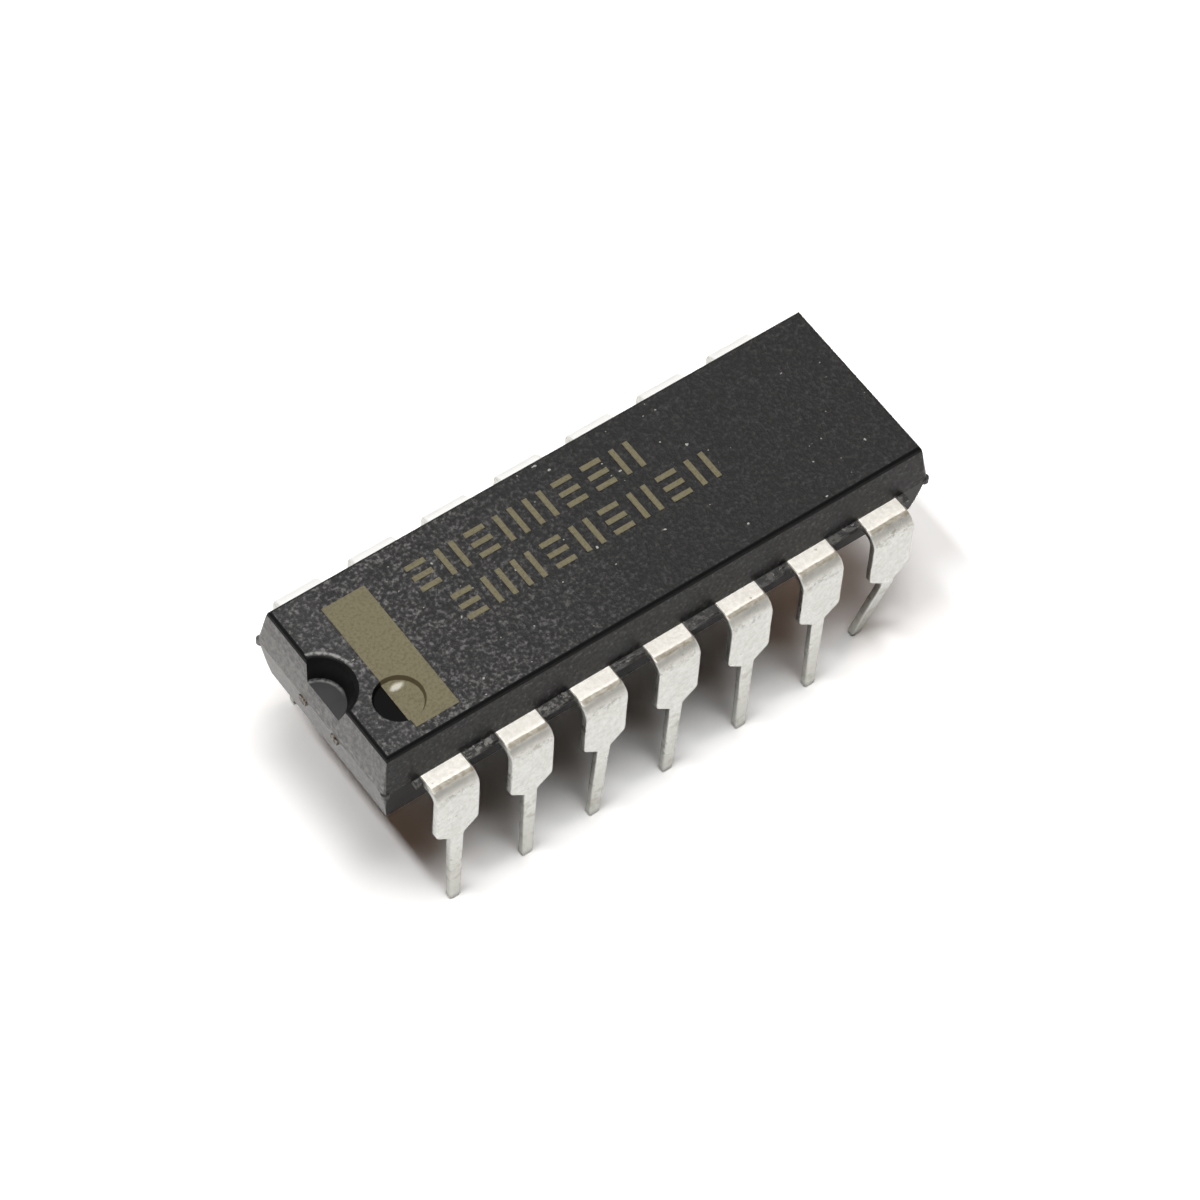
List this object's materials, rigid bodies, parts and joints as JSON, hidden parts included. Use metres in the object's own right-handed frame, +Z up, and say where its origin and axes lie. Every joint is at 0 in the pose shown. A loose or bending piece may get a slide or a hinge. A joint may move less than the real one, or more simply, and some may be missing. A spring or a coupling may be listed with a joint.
{
  "type": "dual in-line integrated circuit",
  "caption": "Plastic dual in-line integrated circuit with bent tinned leads, an index notch, a dimple, a printed stripe and plain marks, and its lead frame, die and wires inside",
  "frame": {"origin": "on the plane of the lead tips, under the middle of the package", "axes": "+X along the package from the notched end, +Y from leads 1 to 7 towards leads 8 to 14, +Z up"},
  "size_m": [0.0192, 0.0082, 0.0075],
  "materials": {
    "resin": "charcoal epoxy moulding compound, fine matt grain on top, smoother drafted walls",
    "lead_tin": "matt silver solder-dipped copper alloy with stamped edges",
    "frame_silver": "spot-silvered copper alloy, cut bare at the tie bars",
    "die_glue": "silver-filled epoxy",
    "silicon": "polished silicon with a fine metal pattern",
    "gold_wire": "drawn gold",
    "ink": "thin khaki-grey marking ink, worn, with the grain showing through"
  },
  "bodies": {
    "root": {"moulded_body": "resin", "lead_1": "lead_tin", "lead_2": "lead_tin", "lead_3": "lead_tin", "lead_4": "lead_tin", "lead_5": "lead_tin", "lead_6": "lead_tin", "lead_7": "lead_tin", "lead_8": "lead_tin", "lead_9": "lead_tin", "lead_10": "lead_tin", "lead_11": "lead_tin", "lead_12": "lead_tin", "lead_13": "lead_tin", "lead_14": "lead_tin", "die_pad": "frame_silver", "die_attach": "die_glue", "silicon_die": "silicon", "bond_wire_1": "gold_wire", "bond_wire_2": "gold_wire", "bond_wire_3": "gold_wire", "bond_wire_4": "gold_wire", "bond_wire_5": "gold_wire", "bond_wire_6": "gold_wire", "bond_wire_7": "gold_wire", "bond_wire_8": "gold_wire", "bond_wire_9": "gold_wire", "bond_wire_10": "gold_wire", "bond_wire_11": "gold_wire", "bond_wire_12": "gold_wire", "bond_wire_13": "gold_wire", "bond_wire_14": "gold_wire", "ink_stripe": "ink", "ink_marks": "ink"}
  },
  "joints": []
}
